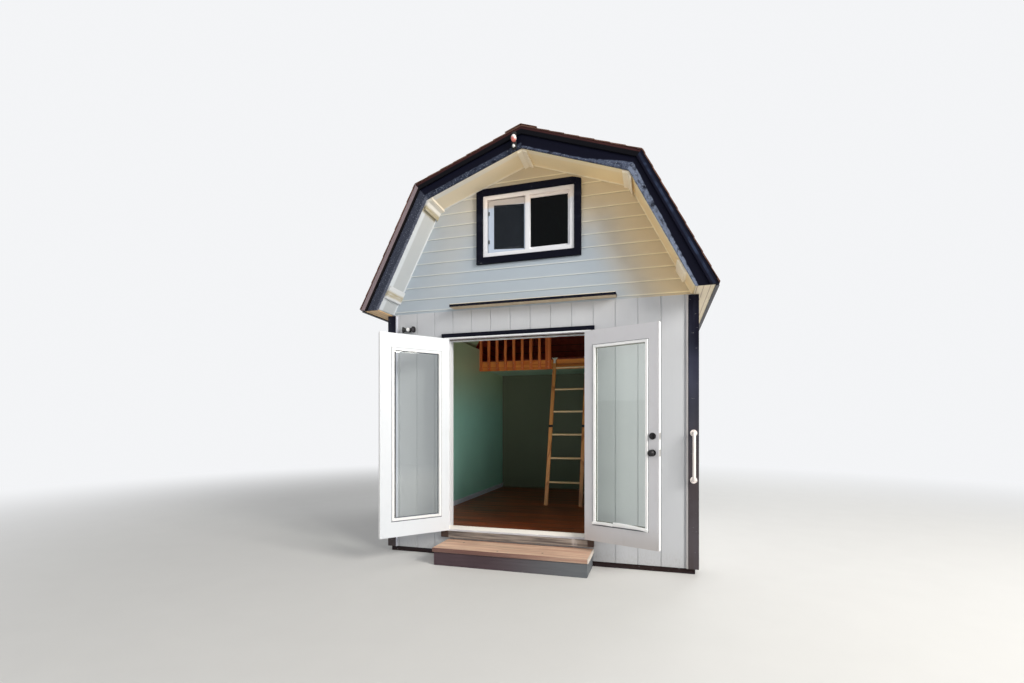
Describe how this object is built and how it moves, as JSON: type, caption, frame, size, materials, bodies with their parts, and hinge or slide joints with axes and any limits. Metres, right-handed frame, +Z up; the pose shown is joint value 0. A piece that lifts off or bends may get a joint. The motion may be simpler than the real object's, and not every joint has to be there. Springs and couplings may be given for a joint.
{
  "type": "garden cottage",
  "caption": "Small gambrel-roofed wooden cottage on skids with outward-opening glazed double doors, a gable window, a sleeping loft and a ladder.",
  "frame": {"origin": "on the ground under the middle of the floor, at the underside of the middle skid", "axes": "+X to the right seen from the front, +Y into the building from the door front to the back wall, +Z up"},
  "size_m": [3.375, 4.5934, 4.0695],
  "materials": {
    "siding_paint": "off-white satin exterior paint on grooved panels and lap boards, sea green paint inside",
    "trim_paint": "blue-black satin exterior paint",
    "soffit_paint": "cream exterior paint",
    "shingle": "brown asphalt shingle granules",
    "roof_lining": "dark reddish stained boards",
    "white_paint": "white gloss paint",
    "white_vinyl": "white vinyl",
    "window_pane": "clear glass",
    "hardwood": "red-brown varnished floor boards",
    "framing": "treated lumber",
    "weathered_wood": "weathered grey wood",
    "step_wood": "worn reddish-tan deck paint",
    "pine": "varnished yellow pine",
    "steel": "satin steel",
    "black_metal": "black powder coat",
    "white_metal": "white powder coat",
    "mill_aluminium": "mill finish, worn"
  },
  "bodies": {
    "building": {"skids": "framing", "base_skirt": "trim_paint", "floor_frame": "framing", "floor_boards": "hardwood", "front_wall_left": "siding_paint", "front_wall_right": "siding_paint", "front_wall_head": "siding_paint", "front_apron": "siding_paint", "front_gable": "siding_paint", "back_wall": "siding_paint", "right_wall": "siding_paint", "left_wall": "siding_paint", "corner_boards": "trim_paint", "roof_lower_right": "roof_lining", "roof_lower_left": "roof_lining", "roof_upper_right": "roof_lining", "roof_upper_left": "roof_lining", "shingles_right": "shingle", "shingles_left": "shingle", "ridge_cap": "shingle", "fascia_boards": "trim_paint", "rake_trims": "trim_paint", "gable_soffits": "soffit_paint", "lookouts": "soffit_paint", "eave_soffits": "soffit_paint", "eave_drips": "trim_paint", "door_jambs": "white_paint", "door_head": "white_paint", "threshold": "mill_aluminium", "sill_board": "weathered_wood", "head_trim": "trim_paint", "hood_ledge": "trim_paint", "jamb_hinges": "steel", "window_casing": "trim_paint", "window_frame": "white_vinyl", "window_sash": "white_vinyl", "window_glass": "window_pane", "step_tread": "step_wood", "step_frame": "weathered_wood", "grab_handle": "white_metal", "wall_light": "black_metal", "peak_light": "black_metal", "loft_beam": "pine", "loft_floor": "pine", "loft_joists": "pine", "loft_ceiling": "siding_paint", "loft_balusters": "pine", "loft_handrails": "pine", "ladder_rails": "pine", "ladder_rungs": "pine", "ladder_hooks": "steel"},
    "left_door": {"left_door": "white_paint", "left_door_glass": "window_pane", "left_door_hinges": "steel"},
    "right_door": {"right_door": "white_paint", "right_door_glass": "window_pane", "right_door_hinges": "steel", "lock_plates": "black_metal"},
    "door_knob": {"door_knob": "black_metal"},
    "thumb_turn": {"thumb_turn": "black_metal"}
  },
  "joints": [
    {"name": "left_door_hinge", "type": "hinge", "parent": "building", "child": "left_door", "pos_m": [-0.8605, -1.861, 0.266], "axis": [0, 0, 1], "range_deg": [-40, 130]},
    {"name": "right_door_hinge", "type": "hinge", "parent": "building", "child": "right_door", "pos_m": [0.5625, -1.861, 0.266], "axis": [0, 0, 1], "range_deg": [-159, 13]},
    {"name": "knob_turn", "type": "hinge", "parent": "right_door", "child": "door_knob", "pos_m": [1.16184, -2.1232, 1.089], "axis": [-0.3584, -0.9336, 0], "range_deg": [-45, 45], "stiffness_Nm_per_rad": 0.4},
    {"name": "thumb_turn_turn", "type": "hinge", "parent": "right_door", "child": "thumb_turn", "pos_m": [1.16184, -2.1232, 1.231], "axis": [-0.3584, -0.9336, 0], "range_deg": [0, 90]}
  ]
}
